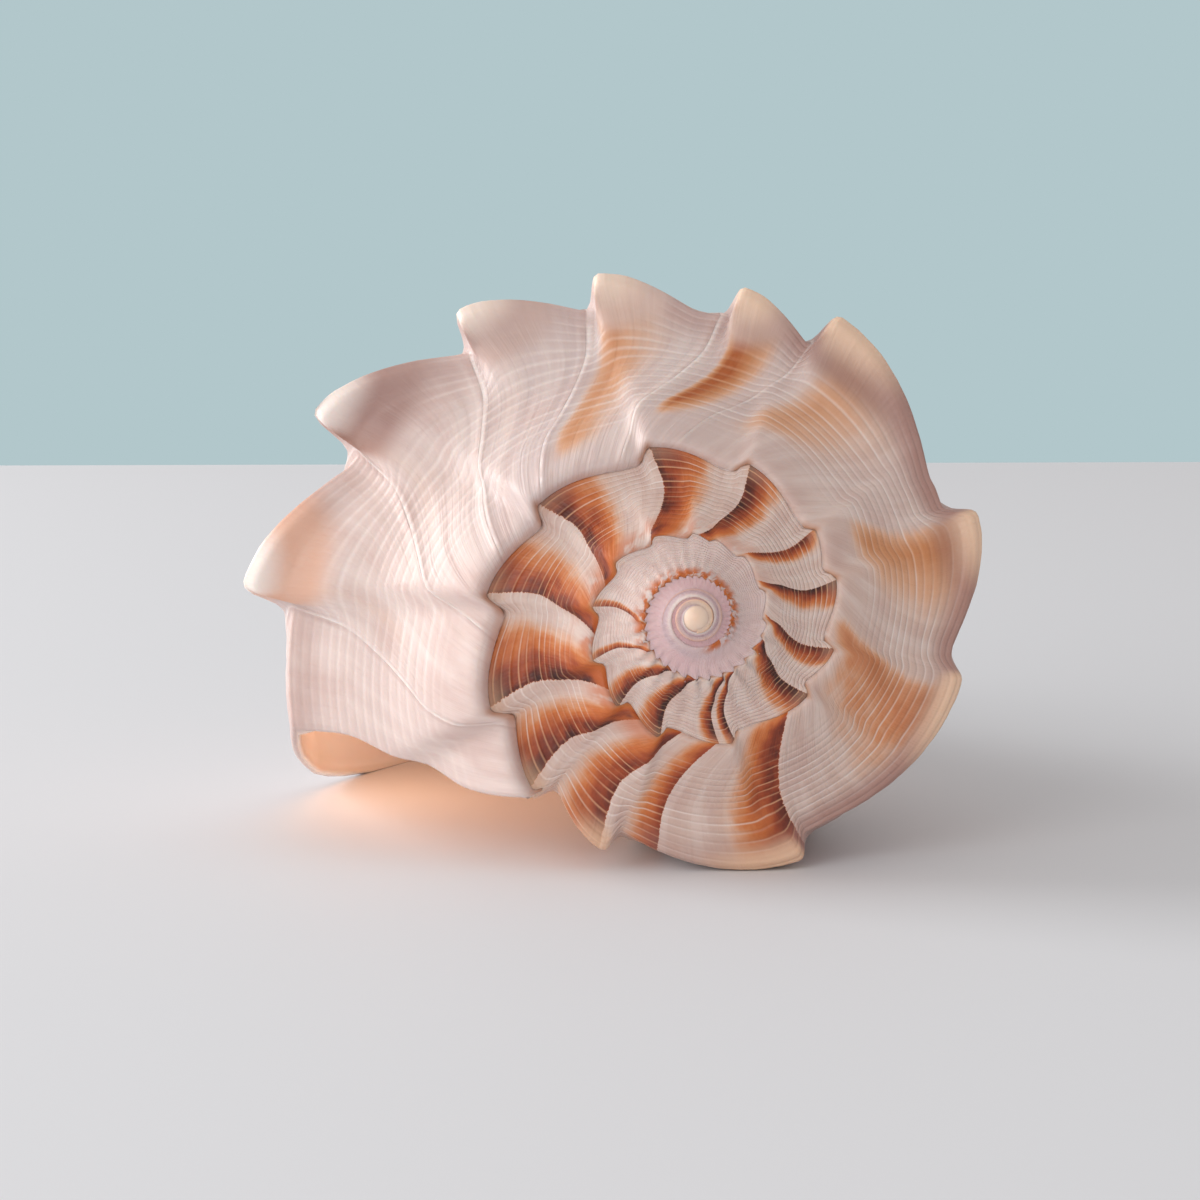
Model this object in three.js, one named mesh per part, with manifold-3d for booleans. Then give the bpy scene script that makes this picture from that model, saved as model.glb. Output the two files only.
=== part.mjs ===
// A lightning whelk: the spiny, left-handed shell of a large sea snail, lying on its aperture.
// It is one solid in millimetres, +Z up, with the spire towards -Y and the canal towards +Y.
// The shell is grown as the animal grows it. A lip is carried round the axis while it doubles
// in size with each turn, and every turn is joined to the one before it.
import * as THREE from "three";
import Module from "manifold-3d";

const LENGTH = 130; // from the apex to the tip of the canal, along the axis
const LIP_RADIUS = 41.1; // from the axis to the shoulder at the lip, before it flares
const TURN_GROWTH = 2; // how many times wider each turn is than the last
const LIP_AT = 1634; // growth angle of the lip's shoulder, in degrees
const START_AT = -90; // growth angle where the first whorl leaves the bead at the apex
const SPIRE_SLOPE = 0.56; // how far the shoulder lies below the apex, per unit of its radius
const AXIS_TILT = 10.9; // how far the axis slopes down to the canal as the shell lies, in degrees
const APEX = [8.36, -64.22, 28.25]; // the place of the apex, so that the shell's box stands on the origin

const WALL = 2.0; // thickness of the shell wall
const LIP_WALL = 1.1; // thickness of the wall at the outer lip
const CALLUS = 0.8; // glaze laid on the earlier whorl inside the aperture
const CAVITY_TURN = 430; // how far the hollow runs back from the lip, in degrees
const MOUTH_TURN = 35; // how far the aperture is cleared past the lip, in degrees
const LONG_TURN = 720; // how far back from the lip the whorls reach down to the canal's tip
const CANAL_RADIUS = 3.6; // half-width of the canal's round back
const COLUMELLA_RADIUS = 2.2; // the pillar inside the last whorl
const ROD_SHARE = 0.3; // thickest pillar of an early whorl, as a share of its shoulder's radius
const FILLET = 3; // between the body and the pillar
const CORE_RADIUS = 0.4; // each sweep stops this far from the axis, and the pillar fills the rest
const BEAD_RADIUS = 1.45; // the round nucleus at the apex

// Each spine on the shoulder has the angle where its tip stands, its height as a share of the radius
// there, and how many degrees the slope that leads up to it takes.
const SPINES = [
  [716, 0.06, 18], [741, 0.07, 20], [771, 0.05, 20], [795, 0.02, 14], [811, 0.06, 12], [836, 0.07, 18],
  [864, 0.05, 20], [893, 0.05, 20], [922, 0.06, 20], [948, 0.1, 18], [973, 0.12, 18], [1007, 0.08, 24],
  [1046, 0.05, 28], [1068, 0.08, 16], [1096, 0.04, 20], [1116, 0.04, 14], [1150, 0.06, 24],
  [1184, 0.07, 24], [1223, 0.09, 28], [1253, 0.12, 22], [1284, 0.13, 22], [1307, 0.14, 17],
  [1328, 0.13, 16], [1374, 0.11, 42], [1427, 0.07, 40], [1460, 0.12, 22], [1503, 0.15, 28],
  [1520, 0.11, 12], [1544, 0.12, 15], [1567, 0.14, 15], [1591, 0.18, 17], [1616, 0.14, 16],
];
const SPINE_FRONT = 8; // longest slope down from a spine's tip, in degrees of growth
const SPINE_LEAN = 26; // degrees that a tip leans forward, for a height of one radius

// Height of the ramp above the straight line from suture to shoulder, as a share of its width.
const RAMP_PROFILE = [[-0.1, -0.12], [0, 0], [0.07, 0.06], [0.2, 0.06], [0.6, -0.01], [0.85, -0.02], [1, 0]];
// How far a growth line near the lip runs ahead of its shoulder on the ramp, in degrees.
const LATE_RAMP_LEAD = [[0, 34], [0.13, 29], [0.32, 21], [0.41, 15.5], [0.55, 9], [0.75, 3], [1, 0]];
// Radius of the body below the shoulder, against depth, both as a share of the shoulder's radius.
const BODY_PROFILE = [
  [0, 1], [0.35, 1.02], [0.7, 1.0], [0.9, 0.93], [1.1, 0.81], [1.35, 0.64], [1.7, 0.43], [2.05, 0.27],
  [2.41, 0.15], [3, 0.02], [4, 0],
];
// How far a growth line runs ahead of its shoulder on the body, in degrees, against the same depth.
const BODY_LEAD = [[0, 0], [0.85, 7.6], [1.2, 10.7], [1.7, 12.8], [2.05, 15.2], [2.41, 19], [4, 22]];

const RAMP_STEPS = [-0.08, 0.04, 0.16, 0.36, 0.6, 0.8, 0.92, 1];
const BODY_STEPS = [0.05, 0.12, 0.22, 0.33, 0.44, 0.55, 0.68, 0.82, 1];
const BURIED_STEPS = [0.08, 0.25, 0.5, 0.75, 1];
const CAVITY_RAMP_STEPS = [0.14, 0.34, 0.6, 0.86];
const CAVITY_BODY_STEPS = [0, 0.1, 0.22, 0.36, 0.5, 0.66, 0.84, 1];
const EARLY_SPINE_COLUMNS = [0, 0.25, 0.6];
const SPINE_COLUMNS = [0, 0.1, 0.28, 0.5, 0.75];

const rad = THREE.MathUtils.degToRad;
const lerp = THREE.MathUtils.lerp;
const smoothstep = THREE.MathUtils.smoothstep;

// Reads a curve through a few points, without overshoot between them.
function curve(points, x) {
  const last = points.length - 1;
  if (x <= points[0][0]) return points[0][1];
  if (x >= points[last][0]) return points[last][1];
  let i = 0;
  while (x > points[i + 1][0]) i++;
  const slope = (k) => (points[k + 1][1] - points[k][1]) / (points[k + 1][0] - points[k][0]);
  const bend = (k) => {
    if (k === 0) return slope(0);
    if (k === last) return slope(last - 1);
    const before = slope(k - 1);
    const after = slope(k);
    return before * after <= 0 ? 0 : (2 * before * after) / (before + after);
  };
  const width = points[i + 1][0] - points[i][0];
  const s = (x - points[i][0]) / width;
  const from = points[i][1];
  const to = points[i + 1][1];
  const pull = s * (1 - s) * ((1 - s) * bend(i) - s * bend(i + 1)) * width;
  return from + (to - from) * s * s * (3 - 2 * s) + pull;
}

// The larger of two radii, with a fillet where they meet.
function blend(a, b, fillet) {
  return (a + b + Math.sqrt((a - b) ** 2 + fillet ** 2)) / 2;
}

// Radius of the shoulder at a growth angle. It doubles each turn, and flares near the lip.
function shoulderRadius(angle) {
  const flare = 1 + 0.065 * smoothstep(angle, LIP_AT - 110, LIP_AT - 10);
  return LIP_RADIUS * TURN_GROWTH ** ((angle - LIP_AT) / 360) * flare;
}

// Growth angle of the shoulder where a spine has its crest. Its tip leans forward from there.
function crest([tip, share]) {
  return tip - share * SPINE_LEAN;
}

// How far the spines stand out at a growth angle, as a share of the shoulder's radius.
function spineHeight(growth) {
  let height = 0;
  for (const spine of SPINES) {
    const [, share, slope] = spine;
    const away = growth - crest(spine);
    const back = Math.max(0, 1 + away / slope);
    const front = Math.max(0, 1 - away / Math.min(0.45 * slope, SPINE_FRONT));
    const rise = away < 0 ? Math.sin((back * Math.PI) / 2) ** 1.3 : front ** 1.4;
    height = Math.max(height, share * rise);
  }
  return height;
}

// Radius and depth of the suture, which runs along the shoulder of the turn before and its spines.
function suture(angle) {
  const before = shoulderRadius(angle - 360);
  const share = spineHeight(angle - 360 - SPINE_LEAN * spineHeight(angle - 360));
  return [(0.985 + 0.85 * share) * before, (SPIRE_SLOPE - 0.3 * share) * before];
}

// How far a growth line on the ramp runs ahead of its shoulder, in degrees.
function rampLead(v, growth) {
  const early = 20 * Math.max(0, 1 - v) ** 2.8;
  return lerp(early, curve(LATE_RAMP_LEAD, v), smoothstep(growth, 1380, 1560));
}

// Pulls a point of the shoulder out along its spine. Near is 1 on the shoulder and 0 away from it.
function spinePoint(radius, depth, angle, growth, near) {
  const share = spineHeight(growth) * near;
  const size = shoulderRadius(angle);
  return [radius + share * size, depth - 0.3 * share * size, angle + share * SPINE_LEAN];
}

// A point of the ramp, where v runs from 0 at the suture to 1 at the shoulder.
function rampPoint(growth, v) {
  const angle = growth + rampLead(v, growth);
  const [innerRadius, innerDepth] = suture(angle);
  const outerRadius = shoulderRadius(angle);
  const swell = lerp(1, 1.6, smoothstep(angle, 1470, 1600));
  const rise = curve(RAMP_PROFILE, v) * (v < 0.5 ? swell : 1) * (outerRadius - innerRadius);
  const radius = lerp(innerRadius, outerRadius, v);
  const depth = lerp(innerDepth, SPIRE_SLOPE * outerRadius, v) - rise;
  return spinePoint(radius, depth, angle, growth, smoothstep(v, 0.55, 1) ** 1.3);
}

// Radius of the outside below the shoulder at a true angle and depth.
function bodyRadius(angle, depth, rod) {
  const size = shoulderRadius(angle);
  const below = (depth - SPIRE_SLOPE * size) / size;
  return blend(size * curve(BODY_PROFILE, below), rod, Math.min(FILLET, 0.4 * size));
}

// Radius of the pillar that each turn leaves behind. The last turn thickens it into the canal's back.
function rodRadius(growth) {
  const late = smoothstep(growth, LIP_AT - 440, LIP_AT - 360);
  return Math.min(lerp(COLUMELLA_RADIUS, CANAL_RADIUS, late), ROD_SHARE * shoulderRadius(growth));
}

// The true angle of a growth line at a depth below the shoulder.
function bodyAngle(growth, depth) {
  const size = shoulderRadius(growth);
  return growth + curve(BODY_LEAD, Math.max(0, (depth - SPIRE_SLOPE * size) / size));
}

// A point of the body, at a share of the way down from the shoulder to the given depth.
function bodyPoint(growth, share, bottom) {
  const size = shoulderRadius(growth);
  const depth = lerp(SPIRE_SLOPE * size, bottom, share);
  const angle = bodyAngle(growth, depth);
  const radius = bodyRadius(angle, depth, rodRadius(growth));
  const below = (depth - SPIRE_SLOPE * size) / size;
  return spinePoint(radius, depth, angle, growth, (1 - smoothstep(below, 0, 0.4)) ** 1.3);
}

// One turn's filled outline at a growth angle: the ramp, the body, and back up beside the axis.
// The early whorls are buried below the ramp, so theirs is short and has few points there.
function whorlSection(growth, long) {
  const size = shoulderRadius(growth);
  const bottom = long ? LENGTH : Math.min(LENGTH, 2 * size);
  const steps = long ? BODY_STEPS : BURIED_STEPS;
  const ramp = RAMP_STEPS.map((v) => rampPoint(growth, v));
  const body = steps.map((share) => bodyPoint(growth, share, bottom));
  const [, topDepth, topAngle] = ramp[0];
  const lowAngle = body[body.length - 1][2];
  return [[CORE_RADIUS, topDepth, topAngle], ...ramp, ...body, [CORE_RADIUS, bottom, lowAngle]];
}

// Radius of the hollow's inner side: the earlier turn with its glaze, or the pillar.
function innerRadius(angle, depth, growth) {
  const before = shoulderRadius(angle - 360);
  const below = Math.max(0, (depth - SPIRE_SLOPE * before) / before);
  return blend(before * curve(BODY_PROFILE, below), rodRadius(growth - 360), FILLET) + CALLUS;
}

// The hollow's outline at a growth angle, one wall inside the outside of the shell.
function cavitySection(growth) {
  const wall = lerp(WALL, LIP_WALL, smoothstep(growth, LIP_AT - 40, LIP_AT));
  const fade = smoothstep(growth, LIP_AT - CAVITY_TURN, LIP_AT - CAVITY_TURN + 60);
  const size = shoulderRadius(growth);
  const top = SPIRE_SLOPE * size + 1.3 * wall;
  const sides = (depth) => {
    const angle = bodyAngle(growth, depth);
    const below = (depth - SPIRE_SLOPE * size) / size;
    const outer = shoulderRadius(angle) * curve(BODY_PROFILE, below) - wall;
    return { angle, outer, inner: innerRadius(angle, depth, growth) };
  };
  let bottom = LENGTH + 2;
  while (bottom > top + 2) {
    const { outer, inner } = sides(bottom);
    if (outer - inner > 0.6) break;
    bottom -= 0.5;
  }
  const roof = CAVITY_RAMP_STEPS.map((v) => {
    const [radius, depth, angle] = rampPoint(growth, v);
    return [radius - 0.4 * wall, depth + 1.25 * wall, angle];
  });
  const depths = CAVITY_BODY_STEPS.map((share) => lerp(top, bottom, share));
  const outside = depths.map((depth) => {
    const { angle, outer } = sides(depth);
    return [outer, depth, angle];
  });
  const inside = depths.map((depth) => {
    const { angle, inner } = sides(depth);
    return [inner, depth, angle];
  });
  const outline = [...roof, ...outside, ...inside.reverse()];
  const middle = sides(lerp(top, bottom, 0.3));
  const centre = [(middle.outer + middle.inner) / 2, lerp(top, bottom, 0.3)];
  const share = lerp(0.45, 1, fade);
  return outline.map(([radius, depth, angle]) => [
    lerp(centre[0], radius, share),
    lerp(centre[1], depth, share),
    angle,
  ]);
}

// Turns a radius, depth and angle about the shell's axis into a point of the part's frame.
function place([radius, depth, angle]) {
  const x = radius * Math.cos(rad(angle));
  const up = radius * Math.sin(rad(angle));
  const sine = Math.sin(rad(AXIS_TILT));
  const cosine = Math.cos(rad(AXIS_TILT));
  return [APEX[0] + x, APEX[1] + up * sine + depth * cosine, APEX[2] + up * cosine - depth * sine];
}

const wasm = await Module();
wasm.setup();

function solidFrom(vertices, triangles) {
  const mesh = new wasm.Mesh({
    numProp: 3,
    vertProperties: new Float32Array(vertices),
    triVerts: new Uint32Array(triangles),
  });
  return new wasm.Manifold(mesh);
}

// Joins the sections at the given growth angles into one closed solid with flat ends.
function sweep(angles, section) {
  const rings = angles.map(section);
  const count = rings[0].length;
  const vertices = rings.flatMap((ring) => ring.flatMap(place));
  const triangles = [];
  for (let i = 0; i < rings.length - 1; i++) {
    for (let j = 0; j < count; j++) {
      const a = i * count + j;
      const b = i * count + ((j + 1) % count);
      triangles.push(a, b, b + count, a, b + count, a + count);
    }
  }
  const cap = (ring, first, turned) => {
    const outline = ring.map(([radius, depth]) => new THREE.Vector2(radius, depth));
    for (const triangle of THREE.ShapeUtils.triangulateShape(outline, [])) {
      const [a, b, c] = triangle.sort((m, n) => m - n);
      if (turned) triangles.push(first + a, first + b, first + c);
      else triangles.push(first + c, first + b, first + a);
    }
  };
  cap(rings[0], 0, false);
  cap(rings[rings.length - 1], (rings.length - 1) * count, true);
  const made = solidFrom(vertices, triangles);
  if (made.volume() > 0) return made;
  for (let i = 0; i < triangles.length; i += 3) {
    [triangles[i + 1], triangles[i + 2]] = [triangles[i + 2], triangles[i + 1]];
  }
  return solidFrom(vertices, triangles);
}

// Growth angles of the columns: evenly spaced on the smooth early whorls, then set by the spines.
function growthColumns() {
  const columns = [];
  for (let angle = START_AT; angle < crest(SPINES[0]); angle += 13) columns.push(angle);
  for (let i = 0; i < SPINES.length; i++) {
    const here = crest(SPINES[i]);
    const next = i < SPINES.length - 1 ? crest(SPINES[i + 1]) : LIP_AT;
    const steps = here > 1200 ? SPINE_COLUMNS : EARLY_SPINE_COLUMNS;
    for (const share of steps) columns.push(lerp(here, next, share));
  }
  columns.push(LIP_AT);
  return columns;
}

// Cuts the columns into half turns, so that no piece meets its own start.
function halfTurns(columns) {
  const pieces = [];
  let piece = [columns[0]];
  for (const angle of columns.slice(1)) {
    piece.push(angle);
    if (angle - piece[0] > 165 && LIP_AT - angle > 60) {
      pieces.push(piece);
      piece = [angle];
    }
  }
  pieces.push(piece);
  return pieces;
}

// The round bead at the apex and the pillar along the axis, turned in one profile.
function beadAndPillar() {
  const profile = [new THREE.Vector2(0, 0)];
  for (const turn of [20, 40, 60, 80, 100]) {
    const reach = BEAD_RADIUS * Math.sin(rad(turn));
    const depth = BEAD_RADIUS * (1 - Math.cos(rad(turn)));
    profile.push(new THREE.Vector2(reach, depth));
  }
  profile.push(new THREE.Vector2(2 * CORE_RADIUS, 3 * BEAD_RADIUS));
  profile.push(new THREE.Vector2(2 * CORE_RADIUS, LENGTH));
  profile.push(new THREE.Vector2(0, LENGTH));
  const sides = 16;
  const vertices = [...place([0, profile[0].y, 0]), ...place([0, LENGTH, 0])];
  const middle = profile.slice(1, -1);
  for (const point of middle) {
    for (let k = 0; k < sides; k++) vertices.push(...place([point.x, point.y, (360 * k) / sides]));
  }
  const triangles = [];
  for (let k = 0; k < sides; k++) {
    const next = (k + 1) % sides;
    triangles.push(0, 2 + k, 2 + next);
    for (let i = 0; i < middle.length - 1; i++) {
      const a = 2 + i * sides;
      triangles.push(a + k, a + sides + k, a + sides + next, a + k, a + sides + next, a + next);
    }
    const low = 2 + (middle.length - 1) * sides;
    triangles.push(1, low + next, low + k);
  }
  return solidFrom(vertices, triangles);
}

// The hollow, from deep in the last whorl to the open mouth past the lip.
function cavity() {
  const angles = [];
  for (let angle = LIP_AT - CAVITY_TURN; angle < LIP_AT; angle += 8) angles.push(angle);
  for (let angle = LIP_AT + 3; angle <= LIP_AT + MOUTH_TURN; angle += 8) angles.push(angle);
  return wasm.Manifold.union(halfTurns(angles).map((piece) => sweep(piece, cavitySection)));
}

// A slab under the floor, which takes off what the shell has worn flat.
function floor() {
  const slab = new THREE.BoxGeometry(4 * LENGTH, 4 * LENGTH, LENGTH);
  slab.translate(0, 0, -LENGTH / 2);
  const corners = [];
  const position = slab.getAttribute("position");
  const triangles = [];
  for (let i = 0; i < slab.index.count; i++) {
    const k = slab.index.getX(i);
    const corner = [position.getX(k), position.getY(k), position.getZ(k)].join();
    let at = corners.indexOf(corner);
    if (at < 0) at = corners.push(corner) - 1;
    triangles.push(at);
  }
  return solidFrom(corners.flatMap((corner) => corner.split(",").map(Number)), triangles);
}

const whorls = halfTurns(growthColumns()).map((piece) => {
  const long = piece[0] > LIP_AT - LONG_TURN;
  return sweep(piece, (growth) => whorlSection(growth, long));
});
const filled = wasm.Manifold.union([...whorls, beadAndPillar()]);
const hollowed = filled.subtract(cavity()).subtract(floor());
const bodies = hollowed.decompose().sort((a, b) => b.volume() - a.volume());
const made = bodies[0].getMesh();

const geometry = new THREE.BufferGeometry();
geometry.setAttribute("position", new THREE.BufferAttribute(made.vertProperties, 3));
geometry.setIndex(new THREE.BufferAttribute(made.triVerts, 1));
geometry.computeVertexNormals();

const shell = new THREE.Mesh(
  geometry,
  new THREE.MeshStandardMaterial({ color: 0xe6d3cb, roughness: 0.45, metalness: 0 }),
);
shell.name = "shell";

const whelk = new THREE.Group();
whelk.add(shell);

export default whelk;
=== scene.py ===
"""A lightning whelk shell on its aperture on a pale floor, seen from the apex of its spire."""
import math

import bpy
import numpy as np
from mathutils import Matrix, Vector


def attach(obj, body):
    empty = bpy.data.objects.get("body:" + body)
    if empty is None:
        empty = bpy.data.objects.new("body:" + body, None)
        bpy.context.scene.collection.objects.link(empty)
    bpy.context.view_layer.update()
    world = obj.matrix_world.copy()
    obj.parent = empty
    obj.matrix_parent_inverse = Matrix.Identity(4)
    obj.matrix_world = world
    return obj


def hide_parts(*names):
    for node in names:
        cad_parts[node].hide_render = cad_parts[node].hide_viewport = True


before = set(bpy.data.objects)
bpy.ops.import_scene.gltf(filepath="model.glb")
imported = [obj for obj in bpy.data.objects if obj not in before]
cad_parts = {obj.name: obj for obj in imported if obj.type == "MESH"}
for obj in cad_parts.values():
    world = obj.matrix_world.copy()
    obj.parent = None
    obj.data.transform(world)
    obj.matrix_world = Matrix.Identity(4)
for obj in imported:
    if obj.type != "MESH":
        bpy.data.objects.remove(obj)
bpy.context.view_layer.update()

# The shell. It is one sheet of aragonite, grown from a bead at the apex by adding to its lip.
# The lip is carried round the axis to the left while it doubles in size with each turn, and
# every turn is laid on the one before it. Sizes are in millimetres and angles in degrees.
LENGTH = 130  # from the apex to the tip of the canal, along the axis
LIP_RADIUS = 41.1  # from the axis to the shoulder at the lip, before it flares
TURN_GROWTH = 2  # how many times wider each turn is than the last
LIP_AT = 1634  # growth angle of the lip's shoulder
FLARE = 0.065  # how much wider the shoulder gets at the lip than its spiral
FLARE_FROM, FLARE_AT = LIP_AT - 110, LIP_AT - 10  # where the flare starts, and is complete
START_AT = -450  # growth angle where the first whorl begins, inside the bead
SPIRE_SLOPE = 0.56  # how far the shoulder lies below the apex, per unit of its radius
AXIS_TILT = 10.9  # how far the axis slopes down to the canal as the shell lies
APEX = (8.36, -64.22, 28.25)  # the place of the apex on the floor's plane
WALL = 2.0  # thickness of the wall
LIP_WALL = 1.1  # thickness of the wall at the outer lip
CALLUS = 0.8  # glaze laid on the earlier whorl inside the aperture
GLAZED_TO = LIP_AT - 358  # the whorl is under the glaze up to this growth angle
GLAZE_EDGE = 8  # the glaze thins out over this many degrees
CANAL_RADIUS = 3.6  # half-width of the canal's round back
COLUMELLA_RADIUS = 2.2  # the pillar inside the last whorl
CANAL_FROM, CANAL_AT = LIP_AT - 440, LIP_AT - 360  # where the pillar widens to the canal's back
LONG_FROM, LONG_AT = LIP_AT - 800, LIP_AT - 720  # where whorls come to reach its tip
ROD_SHARE = 0.3  # thickest pillar of an early whorl, as a share of its shoulder's radius
FILLET = 3  # between the body and the pillar
BEAD_RADIUS = 1.65  # the round nucleus at the apex
BEAD_STEM = 0.8  # radius of the pillar below it

# Each spine on the shoulder has the angle where its tip stands, its height as a share of the
# radius there, and how many degrees the slope that leads up to it takes.
SPINES = np.array([
    (716, 0.08, 14), (741, 0.08, 16), (771, 0.08, 18), (795, 0.06, 14), (811, 0.08, 12),
    (836, 0.1, 16), (864, 0.1, 18), (893, 0.1, 18), (922, 0.11, 18), (948, 0.13, 16),
    (973, 0.14, 16), (1007, 0.12, 22), (1046, 0.1, 24), (1068, 0.11, 15), (1096, 0.09, 18),
    (1116, 0.07, 13), (1150, 0.1, 22), (1184, 0.11, 22), (1223, 0.11, 26), (1253, 0.13, 22),
    (1284, 0.13, 22), (1307, 0.14, 17), (1328, 0.13, 16), (1374, 0.11, 42), (1427, 0.07, 40),
    (1460, 0.12, 22), (1503, 0.15, 28), (1520, 0.11, 12), (1544, 0.12, 13), (1565.5, 0.14, 15),
    (1589.5, 0.18, 17), (1614, 0.145, 16),
])
# The early whorls have low knobs instead, which stand further apart as the shell grows.
KNOB_COUNT = 38
knob_row = np.arange(KNOB_COUNT) / KNOB_COUNT
knob_at = 330 + 386 * (0.78 * knob_row + 0.22 * knob_row ** 2)
knobs = np.stack((knob_at, 0.08 + 0.01 * knob_row, 5.5 + 2.5 * knob_row), -1)
SPINES = np.concatenate((knobs, SPINES))
SPINE_FRONT = 8  # longest slope down from a spine's tip
SPINE_LEAN = 26  # how far a tip leans forward, for a height of one radius
SPINE_LIFT = 0.3  # how far a tip stands up towards the apex, per unit of its reach
SPINE_POWER = 1.3  # makes the spines narrower
INNER_SPINES = 0.45  # how much of each spine the inside follows
FACE_SCOOP = 0.22  # depth of the scoop in a spine's face, per unit of its reach
RIM_BEVEL = 0.1  # and of the bevel along its rim
SPINE_CREST = SPINES[:, 0] - SPINES[:, 1] * SPINE_LEAN

# Height of the ramp above the straight line from suture to shoulder, as a share of its width.
RAMP_PROFILE = (
    (-0.1, -0.16), (0, 0), (0.02, 0.034), (0.05, 0.058), (0.09, 0.066), (0.2, 0.056), (0.6, -0.01),
    (0.85, -0.02), (1, 0),
)
SUTURE_SHARE = 0.985  # radius of the suture, as a share of the earlier turn's shoulder
SUTURE_FOLLOWS = 0.85  # how much of each earlier spine the suture goes round
EARLY_RAMP_LEAD = 20  # how far an early growth line runs ahead of its shoulder at the suture
LATE_FROM, LATE_AT = 1380, 1560  # growth angles between which the lead becomes the late one
# How far a growth line near the lip runs ahead of its shoulder on the ramp.
LATE_RAMP_LEAD = ((0, 34), (0.13, 29), (0.32, 21), (0.41, 15.5), (0.55, 9), (0.75, 3), (1, 0))
# Radius of the body below the shoulder, against depth, both as a share of the shoulder's radius.
BODY_PROFILE = (
    (0, 1), (0.35, 1.02), (0.7, 1.0), (0.9, 0.93), (1.1, 0.81), (1.35, 0.64), (1.7, 0.43),
    (2.05, 0.27), (2.41, 0.15), (3, 0.02), (4, 0),
)
# How far a growth line runs ahead of its shoulder on the body, against the same depth.
BODY_LEAD = ((0, 0), (0.85, 7.6), (1.2, 10.7), (1.7, 12.8), (2.05, 15.2), (2.41, 19), (4, 22))


def curve(points, x):
    """Cubic pieces through the points, whose slope at each is its neighbours' harmonic mean."""
    px, py = np.array(points, float).T
    gap = np.diff(px)
    slope = np.diff(py) / gap
    same_way = slope[:-1] * slope[1:] > 0
    total = np.where(same_way, slope[:-1] + slope[1:], 1)
    inner = np.where(same_way, 2 * slope[:-1] * slope[1:] / total, 0)
    bend = np.concatenate((slope[:1], inner, slope[-1:]))
    x = np.clip(x, px[0], px[-1])
    i = np.clip(np.searchsorted(px, x, side="right") - 1, 0, len(gap) - 1)
    s = (x - px[i]) / gap[i]
    pull = s * (1 - s) * ((1 - s) * bend[i] - s * bend[i + 1]) * gap[i]
    return py[i] + (py[i + 1] - py[i]) * s * s * (3 - 2 * s) + pull


def step(x, low, high):
    """0 before low, 1 past high, and three squares less two cubes between them."""
    s = np.clip((x - low) / (high - low), 0, 1)
    return s * s * (3 - 2 * s)


def mix(a, b, share):
    """The point at a share of the way from a to b."""
    return a + (b - a) * share


def larger(a, b, fillet):
    """The larger of two radii, with a fillet: half of their sum, and half of the root of their gap
    squared plus the fillet squared."""
    return (a + b + np.sqrt((a - b) ** 2 + fillet ** 2)) / 2


def shoulder_radius(angle):
    """The lip's radius times the turn growth to the power of the turns, with a flare at the lip."""
    flare = 1 + FLARE * step(angle, FLARE_FROM, FLARE_AT)
    return LIP_RADIUS * TURN_GROWTH ** ((angle - LIP_AT) / 360) * flare


def spine_form(growth):
    """Each spine's height from 0 to 1: a power of a sine up to its crest, and a smooth step down
    in front of it."""
    slope = SPINES[:, 2]
    away = np.asarray(growth, float)[..., None] - SPINE_CREST
    back = np.clip(1 + away / slope, 0, 1)
    front = step(1 - away / np.minimum(0.45 * slope, SPINE_FRONT), 0, 1)
    return np.where(away < 0, np.sin(back * math.pi / 2) ** SPINE_POWER, front)


def spine_height(growth):
    """The height of the tallest spine at a growth angle, as a share of the shoulder's radius."""
    return (SPINES[:, 1] * spine_form(growth)).max(-1)


def suture(angle):
    """Radius and depth of the suture: those of the earlier turn's shoulder at this angle, with
    a share of its spines."""
    before = shoulder_radius(angle - 360)
    share = spine_height(angle - 360 - SPINE_LEAN * spine_height(angle - 360))
    radius = (SUTURE_SHARE + SUTURE_FOLLOWS * share) * before
    return radius, (SPIRE_SLOPE - SPINE_LIFT * share) * before


def ramp_lead(v, growth):
    """Degrees that a growth line runs ahead of its shoulder on the ramp. They go from a power of
    1 - v, on early lines, to the late curve."""
    early = EARLY_RAMP_LEAD * np.clip(1 - v, 0, None) ** 2.8
    return mix(early, curve(LATE_RAMP_LEAD, v), step(growth, LATE_FROM, LATE_AT))


def rod_radius(growth):
    """Radius of the pillar that each turn leaves: a share of its shoulder's radius, up to the
    pillar's own, which widens into the canal's back."""
    late = mix(COLUMELLA_RADIUS, CANAL_RADIUS, step(growth, CANAL_FROM, CANAL_AT))
    return np.minimum(late, ROD_SHARE * shoulder_radius(growth))


def body_angle(growth, depth):
    """The growth angle plus the lead at this depth below the shoulder."""
    size = shoulder_radius(growth)
    return growth + curve(BODY_LEAD, (depth - SPIRE_SLOPE * size) / size)


# Growth paused just past each tall spine of the last whorl, and left a mark to either side.
REST_AT = (SPINE_CREST + 6.5)[(SPINES[:, 0] > 1240) & (SPINES[:, 1] > 0.1)]
REST_REACH = 6


def rest_count(growth):
    """How many pauses lie behind: it rises by one round each pause, and waits between them."""
    at = np.stack((REST_AT - REST_REACH, REST_AT + REST_REACH), -1).ravel()
    number = np.stack((np.arange(len(REST_AT)), np.arange(len(REST_AT)) + 1), -1).ravel()
    return np.interp(growth, at, number)


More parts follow.
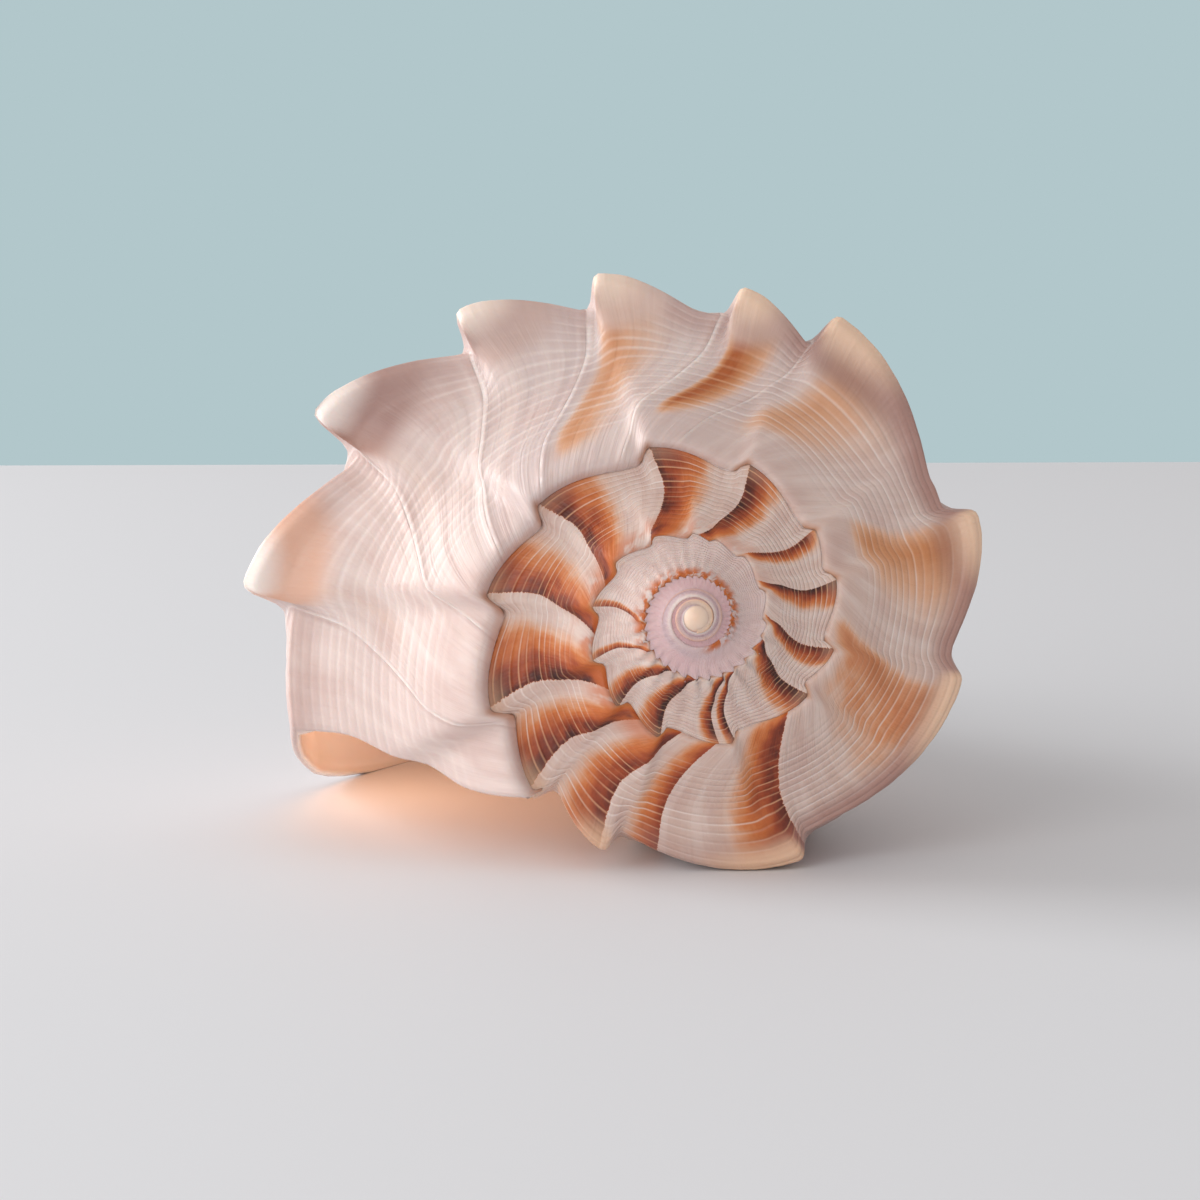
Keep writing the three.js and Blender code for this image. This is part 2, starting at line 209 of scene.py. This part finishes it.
def relief(growth, across):
    """Growth marks in millimetres: a ridge at each pause, which is a power of e up to it and a
    bell past it, and three sines of odd lengths."""
    size = shoulder_radius(growth) / LIP_RADIUS
    ahead = growth[..., None] - REST_AT
    rests = np.where(ahead < 0, np.exp(ahead / 1.6), np.exp(-((ahead / 0.7) ** 2)))
    waves = np.sin(growth * 0.83 + 2 * across) + 0.7 * np.sin(growth * 1.37 + 1)
    waves = waves + 0.5 * np.sin(growth * 2.11)
    late = step(growth, 1200, 1560)
    return size * ((0.12 + 0.33 * late) * rests.max(-1) + (0.015 + 0.02 * late) * waves)


def outside(growth, ramp, body, spines=1.0):
    """Radius, depth and angle of the outside along each growth line, its place across the whorl,
    and its part in the spines. The ramp is a line from the suture to the shoulder plus its
    profile, with a scoop in each spine's face and a bevel along its rim. The body is the
    profile's radius at each depth. Both are pulled out along the spines."""
    v = ramp[None, :] + 0 * growth
    angle = growth + ramp_lead(v, growth)
    inner_radius, inner_depth = suture(angle)
    outer_radius = shoulder_radius(angle)
    # The welt along the suture is higher on the first turns and near the lip.
    welt = mix(2, 1, step(angle, 300, 640)) + 0.9 * step(angle, 1470, 1600)
    swell = np.where(v < 0.5, welt, 1)
    scoop = FACE_SCOOP * step(v, 0.74, 0.86) * (1 - step(v, 0.86, 0.96))
    scoop = scoop + RIM_BEVEL * step(v, 0.93, 1)
    scoop = scoop * spine_height(growth) * outer_radius
    rise = curve(RAMP_PROFILE, v) * swell * (outer_radius - inner_radius)
    marks = relief(growth, v) * step(v, 0, 0.1)
    radius = mix(inner_radius, outer_radius, v)
    depth = mix(inner_depth, SPIRE_SLOPE * outer_radius, v) - rise - marks + scoop * spines
    near = step(v, 0.55, 1) ** SPINE_POWER

    size = shoulder_radius(growth)
    top = SPIRE_SLOPE * size
    bottom = mix(2 * size, LENGTH, step(growth, LONG_FROM, LONG_AT))
    body_depth = mix(top, bottom, body[None, :])
    body_turn = body_angle(growth, body_depth)
    here = shoulder_radius(body_turn)
    below = (body_depth - SPIRE_SLOPE * here) / here
    covered = step(growth, GLAZED_TO + GLAZE_EDGE, GLAZED_TO) * step(below, 0.02, 0.2)
    fillet = np.minimum(FILLET, 0.4 * here)
    body_radius = larger(here * curve(BODY_PROFILE, below), rod_radius(growth), fillet)
    body_radius = body_radius + CALLUS * covered + relief(growth, 1 + below) * (1 - covered)
    body_near = (1 - step((body_depth - top) / size, 0, 0.4)) ** SPINE_POWER

    radius, depth = np.hstack((radius, body_radius)), np.hstack((depth, body_depth))
    angle, near = np.hstack((angle, body_turn)), np.hstack((near, body_near))
    share = spines * spine_height(growth) * near
    reach = share * shoulder_radius(angle)
    across = np.hstack((v, 1 + (body_depth - top) / size))
    depth = depth - SPINE_LIFT * reach
    return radius + reach, depth, angle + share * SPINE_LEAN, across, near


def sunk(radius, depth, distance):
    """Moves each growth line in by a distance, along the normal to its path of radius and depth."""
    run, fall = np.gradient(radius, axis=1), np.gradient(depth, axis=1)
    span = np.maximum(np.hypot(run, fall), 1e-6)
    return np.maximum(radius - distance * fall / span, 0.12), depth + distance * run / span


def place(radius, depth, angle):
    """A point in metres from a radius, a depth below the apex and an angle about the axis. The
    axis is tilted about the apex, and what would go through the floor is laid flat on it."""
    turn, tilt = np.radians(angle), math.radians(AXIS_TILT)
    across, up = radius * np.cos(turn), radius * np.sin(turn)
    y = APEX[1] + up * math.sin(tilt) + depth * math.cos(tilt)
    z = APEX[2] + up * math.cos(tilt) - depth * math.sin(tilt)
    return np.stack((APEX[0] + across, y, np.maximum(z, 0)), -1) / 1000


# Each flame of brown has the growth angle of its sharp front edge, how many degrees it fades over
# behind that, how deep its colour is, and where it starts and ends on the ramp.
FLAMES = np.array([
    (890, 6, 0.75, 0, 1.0), (919, 6, 0.75, 0, 1.0), (946, 14, 0.95, 0, 1.1), (971, 17, 1.0, 0, 1.1),
    (999, 10, 0.95, 0, 0.95), (1006, 6, 1.0, 0, 1.1), (1045, 18, 1.0, 0, 1.1),
    (1066, 12, 0.9, 0.1, 1.0), (1094, 13, 0.95, 0.1, 1.1), (1115, 9, 0.7, 0.1, 0.95),
    (1148, 19, 0.9, 0, 1.1), (1182, 26, 0.82, 0, 1.1), (1221, 26, 0.8, 0, 1.1),
    (1250, 25, 0.78, 0, 1.1), (1281, 28, 0.88, 0, 1.2), (1303, 20, 0.85, 0, 1.2),
    (1325, 19, 0.78, 0, 1.2), (1341, 13, 0.6, 0, 1.2), (1377, 25, 0.74, 0.02, 1.1),
    (1430, 48, 0.46, 0.1, 0.95), (1464, 34, 0.62, 0.3, 1.1), (1505, 38, 0.42, 0.3, 0.95),
    (1520, 13, 1.05, 0.3, 0.95), (1547, 22, 0.5, 0.2, 1.0), (1566, 14, 0.1, 0.4, 1.0),
    (1590, 14, 0.12, 0.4, 1.0), (1614, 14, 0.12, 0.4, 1.0),
])


def flame_count(growth):
    """How many flames lie behind: it rises by one over each flame, and waits between them."""
    edge, width = FLAMES[:, 0], FLAMES[:, 1]
    start = np.maximum(edge - width, np.concatenate(([START_AT], edge[:-1] + 0.4)))
    at = np.stack((start, edge), -1).ravel()
    number = np.stack((np.arange(len(edge)), np.arange(len(edge)) + 1), -1).ravel() + 0.03
    return np.interp(growth, at, number)


def flame_depth(growth, across):
    """The depth of the flame that comes next, between the places where it starts and ends."""
    edge, depth = FLAMES[:, 0], FLAMES[:, 2]
    start = np.maximum(edge - 0.9 * FLAMES[:, 1], np.concatenate(([START_AT], edge[:-1] + 0.5)))
    at = np.stack((start, edge), -1).ravel()
    deep = np.interp(growth, at, np.repeat(depth, 2))
    first = np.interp(growth, at, np.repeat(FLAMES[:, 3], 2))
    last = np.interp(growth, at, np.repeat(FLAMES[:, 4], 2))
    on_ramp = step(across, first - 0.12, first + 0.1) * (1 - step(across, last - 0.15, last + 0.1))
    on_body = 0.6 * step(across, 0.95, 1.15) * (1 - 0.75 * step(across, 1.3, 3))
    return deep * np.maximum(on_ramp, on_body)


# Growth lines: wide apart on the smooth early whorls, and set by the spines after them. The last
# three round the lip's edge.
FINER_FROM = -90
EARLY_APART, LATE_APART = 2.8, 1.05
stops = np.concatenate((SPINE_CREST, [LIP_AT]))
lines = [np.arange(START_AT, FINER_FROM, 9.0), np.arange(FINER_FROM, stops[0], 5.0)]
for start, end in zip(stops[:-1], stops[1:]):
    apart = EARLY_APART if start < 1200 else LATE_APART
    lines.append(np.linspace(start, end, max(2, round((end - start) / apart)), endpoint=False))
growth = np.concatenate(lines + [[LIP_AT, LIP_AT + 0.3, LIP_AT + 0.5]])[:, None]
lip_round = np.ones(len(growth))
lip_round[-3:] = 1, 0.75, 0.3

# Places across the ramp and down the body, outside and inside, closest at the suture and shoulder.
RAMP_OUT = np.concatenate((
    np.linspace(-0.07, 0.12, 12), np.linspace(0.155, 0.93, 25), np.linspace(0.95, 1, 5),
))
BODY_OUT = np.concatenate((np.linspace(0.006, 0.1, 8), np.linspace(0.13, 1, 22)))
RAMP_IN = np.linspace(-0.07, 0.9, 11)
BODY_IN = np.linspace(0.04, 1, 16)

# The wall thins out towards the lip and, in step with the radius, towards the apex.
early_wall = 0.1 + 0.09 * shoulder_radius(growth)
wall = np.minimum(mix(WALL, LIP_WALL, step(growth, LIP_AT - 40, LIP_AT)), early_wall)
thin = wall * (1 - lip_round[:, None]) / 2
out_radius, out_depth, out_angle, out_across, out_near = outside(growth, RAMP_OUT, BODY_OUT)
out_radius, out_depth = sunk(out_radius, out_depth, thin)
in_radius, in_depth, in_angle, in_across, _ = outside(growth, RAMP_IN, BODY_IN, INNER_SPINES)
in_radius, in_depth = sunk(in_radius, in_depth, wall - thin)


def ring(outer, inner):
    """One closed line round the sheet's section: outside from suture to canal, and back inside."""
    return np.hstack((outer, inner[:, ::-1]))


points = place(ring(out_radius, in_radius), ring(out_depth, in_depth), ring(out_angle, in_angle))
count_out, count_in = out_radius.shape[1], in_radius.shape[1]
count = count_out + count_in
rows = len(growth)

# Quads between neighbouring growth lines, and a strip across the section at each end of the sheet.
corner = np.arange(rows - 1)[:, None] * count + np.arange(count)[None, :]
beside = np.arange(rows - 1)[:, None] * count + (np.arange(count)[None, :] + 1) % count
quads = np.stack((corner, corner + count, beside + count, beside), -1).reshape(-1, 4)
from_out = np.arange(count_out - 1)
place_out = np.concatenate((RAMP_OUT, 1 + BODY_OUT))
place_in = np.concatenate((RAMP_IN, 1 + BODY_IN))
match = count - 1 - np.abs(place_out[:, None] - place_in).argmin(1)
edge = np.stack((from_out, from_out + 1, match[:-1]), -1)
moved = match[1:] != match[:-1]
across_edge = np.stack((from_out + 1, match[1:], match[:-1]), -1)[moved]
strip = np.concatenate((edge, across_edge))
ends = np.concatenate((strip, strip[:, ::-1] + (rows - 1) * count))

# The bead at the apex and the pillar along the axis, turned in one profile: a circle, then a rod.
BEAD_SIDES = 36
BEAD_TURN = np.radians(np.linspace(8, 112, 14))
bead_radius = np.concatenate((BEAD_RADIUS * np.sin(BEAD_TURN), [BEAD_STEM, BEAD_STEM]))
bead_depth = np.concatenate((BEAD_RADIUS * (1 - np.cos(BEAD_TURN)), [3 * BEAD_RADIUS, LENGTH]))
bead_angle = np.arange(BEAD_SIDES) * 360 / BEAD_SIDES
round_it = 0 * bead_angle
bead = place(bead_radius[:, None] + round_it, bead_depth[:, None] + round_it, bead_angle[None, :])
poles = place(np.zeros(2), np.array((0.0, LENGTH)), np.zeros(2))
bead_first = rows * count
low = bead_first + np.arange(len(bead_radius) - 1)[:, None] * BEAD_SIDES
k = np.arange(BEAD_SIDES)[None, :]
turned = (k + 1) % BEAD_SIDES
high = low + BEAD_SIDES
bead_quads = np.stack((low + k, high + k, high + turned, low + turned), -1).reshape(-1, 4)
top_pole = bead_first + bead_radius.size * BEAD_SIDES
last_ring = top_pole - BEAD_SIDES
bead_top = np.stack((top_pole + 0 * k, bead_first + k, bead_first + turned), -1).reshape(-1, 3)
bead_low = np.stack((top_pole + 1 + 0 * k, last_ring + turned, last_ring + k), -1).reshape(-1, 3)

sheet = bpy.data.meshes.new("shell")
faces = quads.tolist() + ends.tolist() + bead_quads.tolist() + bead_top.tolist() + bead_low.tolist()
vertices = np.concatenate((points.reshape(-1, 3), bead.reshape(-1, 3), poles))
sheet.from_pydata(vertices.tolist(), [], faces)
shell = bpy.data.objects.new("whelk_shell", sheet)
bpy.context.collection.objects.link(shell)
sheet.shade_smooth()

# Marks that the finish follows: where each point was grown, and what covers it. The suture has
# a notch just past each tip of the turn before.
NOTCH_PAST = 362
inside = np.hstack((0 * out_radius, 0 * in_radius + 1))
spine_tip = spine_form(growth).max(-1) * step(growth, 400, 900)
line_angle = growth + ramp_lead(np.clip(out_across, 0, 1), growth)
behind_tip = line_angle[..., None] - NOTCH_PAST - SPINES[:, 0]
notch = np.exp(-((behind_tip / 3.5) ** 2)).max(-1) * (1 - step(out_across, 0.03, 0.12))
glazed = step(growth, GLAZED_TO + GLAZE_EDGE, GLAZED_TO) * step(out_across, 1.1, 1.3)
marks = {
    "growth_turns": ring(growth + 0 * out_radius, growth + 0 * in_radius) / 360,
    "across": ring(out_across, in_across),
    "flames": ring(flame_count(growth) + 0 * out_radius, 0 * in_radius),
    "flame_depth": ring(flame_depth(growth, out_across), 0 * in_radius),
    "lining": np.maximum(inside, ring(glazed, 0 * in_radius)),
    "spine": ring(spine_tip * out_near, 0 * in_radius),
    "rests": ring(rest_count(growth) + 0 * out_radius, 0 * in_radius),
    "notch": ring(notch, 0 * in_radius),
}
for name, value in marks.items():
    extra = np.full(len(vertices) - value.size, -1.0 if name == "growth_turns" else 0.0)
    layer = sheet.attributes.new(name, "FLOAT", "POINT")
    layer.data.foreach_set("value", np.concatenate((value.ravel(), extra)).astype(np.float32))

# The finish is porcelain-like aragonite: a pale ground with brown flames along the growth lines,
# pale threads round the whorls, mauve or orange spines with cream rims, and a peach lining. Most
# of it goes by age, which rises from 0 at the bead to 0.91 at the lip.
AGE_PER_TURN = 0.2
finish = bpy.data.materials.new("whelk_porcelain")
finish.use_nodes = True
tree = finish.node_tree
porcelain = tree.nodes["Principled BSDF"]


def paint(code):
    """A colour from its six hex digits, made linear."""
    parts = [int(code[i:i + 2], 16) / 255 for i in (0, 2, 4)]
    return tuple(c / 12.92 if c <= 0.04045 else ((c + 0.055) / 1.055) ** 2.4 for c in parts) + (1,)


def feed(socket, value):
    """Links a value that varies, or sets one that doesn't."""
    if isinstance(value, bpy.types.NodeSocket):
        tree.links.new(value, socket)
    else:
        socket.default_value = value


def read(name):
    """One of the marks on the shell's points."""
    node = tree.nodes.new("ShaderNodeAttribute")
    node.attribute_name = name
    return node.outputs["Fac"]


def math_of(operation, a, b=0.0):
    """One sum on two values."""
    node = tree.nodes.new("ShaderNodeMath")
    node.operation = operation
    feed(node.inputs[0], a)
    feed(node.inputs[1], b)
    return node.outputs[0]


def product(first, *others):
    """The values multiplied together."""
    for value in others:
        first = math_of("MULTIPLY", first, value)
    return first


def fade(value, low, high, to_low=0.0, to_high=1.0):
    """A smooth step between two values."""
    node = tree.nodes.new("ShaderNodeMapRange")
    node.interpolation_type = "SMOOTHSTEP"
    names = ("Value", "From Min", "From Max", "To Min", "To Max")
    for name, given in zip(names, (value, low, high, to_low, to_high)):
        feed(node.inputs[name], given)
    return node.outputs["Result"]


def colours(value, stops):
    """A row of colours, read at a value from 0 to 1."""
    node = tree.nodes.new("ShaderNodeValToRGB")
    row = node.color_ramp.elements
    while len(row) < len(stops):
        row.new(0.5)
    for element, (at, code) in zip(row, stops):
        element.position = at
        element.color = paint(code)
    feed(node.inputs["Fac"], value)
    return node.outputs["Color"]


def over(share, below, above):
    """One colour laid over another by a share."""
    node = tree.nodes.new("ShaderNodeMix")
    node.data_type = "RGBA"
    feed(node.inputs[0], share)
    feed(node.inputs[6], below)
    feed(node.inputs[7], above)
    return node.outputs[2]


def clouds(turns, width, detail=3.0):
    """Uneven streaks that follow the surface. Their number in a turn and across it sets the way
    they are drawn out."""
    surface = tree.nodes.new("ShaderNodeCombineXYZ")
    feed(surface.inputs["X"], product(growth_mark, turns))
    feed(surface.inputs["Y"], product(across_mark, width))
    node = tree.nodes.new("ShaderNodeTexNoise")
    feed(node.inputs["Vector"], surface.outputs["Vector"])
    node.inputs["Scale"].default_value = 1.0
    node.inputs["Detail"].default_value = detail
    return node.outputs["Fac"]


growth_mark, across_mark = read("growth_turns"), read("across")
lining, spine, notch = read("lining"), read("spine"), read("notch")
age = product(growth_mark, AGE_PER_TURN)
streaks = clouds(70, 1.2)
fine_streaks = clouds(420, 2.5, 2.0)

# The ground is lilac round the bead, and gets paler and pinker as the shell grows. A pale cord
# runs along the suture of the first turns.
ground = colours(age, (
    (0.0, "e6c2c0"), (0.1, "dcadb2"), (0.34, "e2c0c2"), (0.4, "e2c8c4"), (0.55, "e3c9be"),
    (0.7, "dabfb3"), (0.8, "d9bdb1"), (0.86, "dac8c5"), (0.885, "e1cac3"), (0.93, "dfcdc8"),
))
streaky = fade(age, 0.36, 0.5, 0.12, 0.4)
ground = over(product(fade(streaks, 0.4, 0.65), streaky), ground, paint("f2e3dc"))
ground = over(product(fade(clouds(35, 3), 0.45, 0.7), streaky), ground, paint("caa59c"))
cord = product(fade(across_mark, 0.1, 0.26, 1.0, 0.0), fade(age, 0.27, 0.36, 1.0, 0.0))
ground = over(product(cord, 0.8), ground, paint("fde8e0"))

# A flame darkens towards its front edge, which is sharp on the spire and soft on the last whorl.
ragged = fade(clouds(30, 70, 2.0), 0.3, 0.7, -0.01, 0.01)
phase = math_of("FRACT", math_of("ADD", read("flames"), ragged))
late = fade(age, 0.775, 0.8)
front_from = math_of("SUBTRACT", 0.97, product(late, 0.27))
front = fade(phase, front_from, 0.985, 1.0, 0.0)
uneven = fade(clouds(60, 6), 0.25, 0.75, fade(late, 0.0, 1.0, 0.7, 0.9), 1.15)
flame = product(math_of("POWER", phase, 1.5), front, read("flame_depth"), uneven)
browns = colours(flame, (
    (0.0, "ecc09c"), (0.12, "e5a06a"), (0.28, "cf7236"), (0.46, "a8481c"), (0.64, "76280e"),
    (0.84, "3e0f06"),
))
tans = colours(flame, ((0.0, "e9c6b0"), (0.2, "e3b190"), (0.38, "d08c5c"), (0.6, "b5602a")))
ground = over(fade(flame, 0.02, 0.24), ground, over(late, browns, tans))
# The outer ends of the flames are mauve-brown: partly their own colour, partly painted shade beside
# the rim of the next whorl.
outer_tint_and_shade = product(fade(across_mark, 0.7, 0.95), fade(flame, 0.1, 0.4))
ground = over(product(outer_tint_and_shade, 0.22), ground, paint("91584a"))

# Orange runs along the suture of the third and fourth whorls, between their flames.
third = product(fade(age, 0.345, 0.36), fade(age, 0.5, 0.52, 1.0, 0.0))
fourth = product(fade(age, 0.58, 0.68), fade(age, 0.72, 0.75, 1.0, 0.0))
both = math_of("ADD", product(fourth, 0.7), third)
blotch = product(fade(across_mark, 0.08, 0.34, 1.0, 0.0), fade(clouds(34, 4), 0.4, 0.54), both)
ground = over(blotch, ground, paint("cb6722"))

# The face of each late spine is smooth. Elsewhere, pale threads run round the whorls. They are
# fine and clear on the spire, and broad and faint towards the lip.
face = product(fade(spine, 0.2, 0.5), fade(age, 0.78, 0.84))
thread_count = fade(age, 0.72, 0.88, 18.0, 23.0)
thread_wave = math_of("PINGPONG", product(across_mark, thread_count), 0.5)
thread = fade(thread_wave, fade(age, 0.8, 0.88, 0.32, 0.14), 0.5)
faintest = fade(age, 0.8, 0.88, 0.1, 0.08)
clearest = fade(age, 0.8, 0.88, 0.7, 0.42)
broken = fade(clouds(9, 26, 1.0), 0.36, 0.64, faintest, clearest)
threaded = product(fade(across_mark, 0.15, 0.4), fade(age, 0.38, 0.44))
threaded = product(threaded, math_of("SUBTRACT", 1.0, face))
thread_shown = product(thread, broken, threaded, fade(age, 0.885, 0.905, 1.0, 0.45))
thread_colour = over(fade(flame, 0.1, 0.5), paint("fbeee8"), paint("eab48c"))
ground = over(thread_shown, ground, thread_colour)

# The keel of the shoulder is mauve on the last whorl. Each spine's face goes from mauve to orange
# with age, and its darker mauve is partly painted shade. Its cream rim is partly its own colour and
# partly painted light glowing through the thin rim.
keel = product(fade(across_mark, 0.78, 0.95), fade(across_mark, 1.0, 1.6, 1.0, 0.0))
keel = product(keel, fade(age, 0.72, 0.78), fade(age, 0.83, 0.855, 1.0, 0.3))
ground = over(product(keel, 0.8), ground, paint("ab7d73"))
# The darker mauve of these faces is partly painted shade.
faces = colours(age, (
    (0.835, "b08a80"), (0.845, "ead2c6"), (0.87, "c8aaa1"), (0.88, "a0736a"), (0.89, "e9b79c"),
))
ground = over(product(face, 0.82), ground, faces)
# The cream rim is partly painted light that glows through the thin rim.
rim_and_glow = colours(age, ((0.7, "eec2a0"), (0.84, "f2d3b8"), (0.88, "fbf0ea")))
rim_from = fade(age, 0.85, 0.87, 0.5, 0.66)
rim_glow_share = product(fade(spine, rim_from, 0.95), fade(age, 0.68, 0.76, 0.25, 0.9))
ground = over(rim_glow_share, ground, rim_and_glow)

# Each pause in growth left a fine ridge. A pale line along it is a painted highlight, and a darker
# line in front of it is painted shadow.
rest = math_of("FRACT", read("rests"))
uneven_rest = product(fade(clouds(40, 9), 0.3, 0.65, 0.25, 1.0), fade(age, 0.8, 0.85))
pause_ridge_and_highlight = product(fade(rest, 0.42, 0.5), fade(rest, 0.505, 0.53, 1.0, 0.0))
pause_ridge_and_highlight = product(pause_ridge_and_highlight, fade(across_mark, 0.02, 0.12), uneven_rest)
painted_rest_shadow = product(fade(rest, 0.51, 0.54), fade(rest, 0.54, 0.62, 1.0, 0.0), uneven_rest)
# A painted highlight along each ridge, and a painted shadow in front of it.
ground = over(product(pause_ridge_and_highlight, 0.45), ground, paint("fff8f4"))
ground = over(product(painted_rest_shadow, 0.35), ground, paint("b08a80"))

# The suture is a thin dark line, which is partly painted shade in its groove. It is open and
# stained where it goes round a spine, and painted shade darkens the open notch.
stain = product(fade(notch, 0.2, 0.9), fade(across_mark, 0.0, 0.08, 0.7, 0.0))
ground = over(stain, ground, paint("b9743f"))
# Painted shade darkens the groove of the suture in places, and the notches most.
in_places = product(fade(clouds(60, 1), 0.5, 0.7), 0.5)
suture_line_and_shade = math_of("MAXIMUM", in_places, fade(notch, 0.3, 0.8))
suture_line_and_shade = product(suture_line_and_shade, fade(across_mark, -0.002, 0.014, 1.0, 0.0), fade(age, 0.5, 0.6, 0.1, 0.9))
ground = over(suture_line_and_shade, ground, paint("5a2c1a"))

# The bead is cream. The lining is orange deep inside, and peach near the lip.
ground = over(fade(growth_mark, -0.9, -0.5, 1.0, 0.0), ground, paint("ffdac3"))
peach = colours(age, ((0.6, "f0a878"), (0.83, "f6bc92"), (0.87, "fff0e4")))
feed(porcelain.inputs["Base Color"], over(lining, ground, peach))
outer_roughness = fade(streaks, 0.3, 0.7, 0.4, 0.52)
feed(porcelain.inputs["Roughness"], over(lining, outer_roughness, (0.25, 0.25, 0.25, 1)))

# Threads, pauses and fine streaks stand up a little on the outside, and the lining is smooth.
ridges = product(fade(thread_wave, 0.15, 0.5), threaded, fade(age, 0.84, 0.9, 1.0, 0.5))
height = math_of("ADD", product(ridges, 0.5), product(fine_streaks, 0.7))
height = product(math_of("ADD", height, pause_ridge_and_highlight), math_of("SUBTRACT", 1.0, lining))
bump = tree.nodes.new("ShaderNodeBump")
bump.inputs["Distance"].default_value = 0.0002
bump.inputs["Strength"].default_value = 0.7
feed(bump.inputs["Height"], height)
feed(porcelain.inputs["Normal"], bump.outputs["Normal"])
porcelain.inputs["Subsurface Weight"].default_value = 0.3
porcelain.inputs["Subsurface Radius"].default_value = (1.0, 0.7, 0.5)
porcelain.inputs["Subsurface Scale"].default_value = 0.0006
porcelain.inputs["Coat Weight"].default_value = 0.15
porcelain.inputs["Coat Roughness"].default_value = 0.22
sheet.materials.append(finish)

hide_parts("shell")
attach(shell, "root")

# The table is a plain pale board with a satin finish, which ends behind the shell.
BOARD_LEFT, BOARD_RIGHT, BOARD_NEAR, BOARD_FAR = -1.5, 1.5, -1.5, 0.31
corners = [
    (BOARD_LEFT, BOARD_NEAR, 0), (BOARD_RIGHT, BOARD_NEAR, 0),
    (BOARD_RIGHT, BOARD_FAR, 0), (BOARD_LEFT, BOARD_FAR, 0),
]
floor_mesh = bpy.data.meshes.new("floor")
floor_mesh.from_pydata(corners, [], [(0, 1, 2, 3)])
satin = bpy.data.materials.new("board_satin")
satin.use_nodes = True
board = satin.node_tree.nodes["Principled BSDF"]
board.inputs["Base Color"].default_value = paint("e3e7ec")
board.inputs["Roughness"].default_value = 0.6
board.inputs["Specular IOR Level"].default_value = 0.15
floor_mesh.materials.append(satin)
floor = bpy.data.objects.new("floor", floor_mesh)
bpy.context.collection.objects.link(floor)

# The camera looks along the shell's length from a little above the table, as in the photo. It is
# placed so that the apex falls right of and below the picture's centre.
CAMERA_AZIMUTH = 1.43  # degrees that it looks to the right of the length
CAMERA_ELEVATION = 8.5  # degrees that it looks down
CAMERA_DISTANCE = 0.450  # metres from the apex
FILM_WIDTH = 36  # millimetres
PICTURE = 1200  # width of the picture, in pixels
FOCAL_PIXELS = 4395  # focal length, in the same pixels
APEX_PIXEL = (96.6, 17.6)  # how far right and below

az, el = math.radians(CAMERA_AZIMUTH), math.radians(CAMERA_ELEVATION)
ahead = np.array((math.sin(az) * math.cos(el), math.cos(az) * math.cos(el), -math.sin(el)))
right = np.array((math.cos(az), -math.sin(az), 0))
up = np.cross(right, ahead)
per_pixel = CAMERA_DISTANCE / FOCAL_PIXELS
eye = np.array(APEX) / 1000 - ahead * CAMERA_DISTANCE
eye = eye - right * APEX_PIXEL[0] * per_pixel + up * APEX_PIXEL[1] * per_pixel
lens = bpy.data.cameras.new("camera")
lens.sensor_width = FILM_WIDTH
lens.lens = FILM_WIDTH * FOCAL_PIXELS / PICTURE
camera = bpy.data.objects.new("camera", lens)
bpy.context.collection.objects.link(camera)
camera.matrix_world = Matrix((
    (right[0], up[0], -ahead[0], eye[0]),
    (right[1], up[1], -ahead[1], eye[1]),
    (right[2], up[2], -ahead[2], eye[2]),
    (0, 0, 0, 1),
))
bpy.context.scene.camera = camera
bpy.context.scene.view_settings.view_transform = "Standard"

# Soft light comes from a window at the left and behind, with a weaker one at the near left.
LIT_POINT = (0, -0.02, 0.02)
WINDOW_SIZE = 0.5


def window(name, place_at, power, colour):
    """A square lamp that faces the shell."""
    lamp = bpy.data.lights.new(name, "AREA")
    lamp.size = WINDOW_SIZE
    lamp.energy = power
    lamp.color = colour
    made = bpy.data.objects.new(name, lamp)
    bpy.context.collection.objects.link(made)
    made.location = place_at
    towards = Vector(LIT_POINT) - Vector(place_at)
    made.rotation_euler = towards.to_track_quat("-Z", "Y").to_euler()


window("window_left", (-0.8, 0.2, 0.3), 6, (1, 0.98, 0.97))
window("room_fill", (-0.5, -0.7, 0.35), 2.2, (1, 0.96, 0.93))

# The thin wall lets the window's light through, and it leaves the aperture warm. A small lamp
# inside stands in for that light. It is neither seen nor mirrored.
glow = bpy.data.lights.new("light_through_wall", "POINT")
glow.shadow_soft_size = 0.008
glow.energy = 0.0076
glow.color = (1, 0.6, 0.38)
glow_object = bpy.data.objects.new("light_through_wall", glow)
bpy.context.collection.objects.link(glow_object)
glow_object.location = (-0.025, -0.015, 0.018)
glow_object.visible_camera = False
glow_object.visible_glossy = False

# The room is warm white all round, and shows as a plain pale blue behind the shell.
world = bpy.data.worlds.new("room")
world.use_nodes = True
room = world.node_tree
behind = room.nodes["Background"]
behind.inputs["Color"].default_value = paint("b2c7cb")
around = room.nodes.new("ShaderNodeBackground")
around.inputs["Color"].default_value = (1, 0.95, 0.925, 1)
around.inputs["Strength"].default_value = 0.56
path, either = room.nodes.new("ShaderNodeLightPath"), room.nodes.new("ShaderNodeMixShader")
room.links.new(path.outputs["Is Camera Ray"], either.inputs["Fac"])
room.links.new(around.outputs["Background"], either.inputs[1])
room.links.new(behind.outputs["Background"], either.inputs[2])
room.links.new(either.outputs["Shader"], room.nodes["World Output"].inputs["Surface"])
bpy.context.scene.world = world
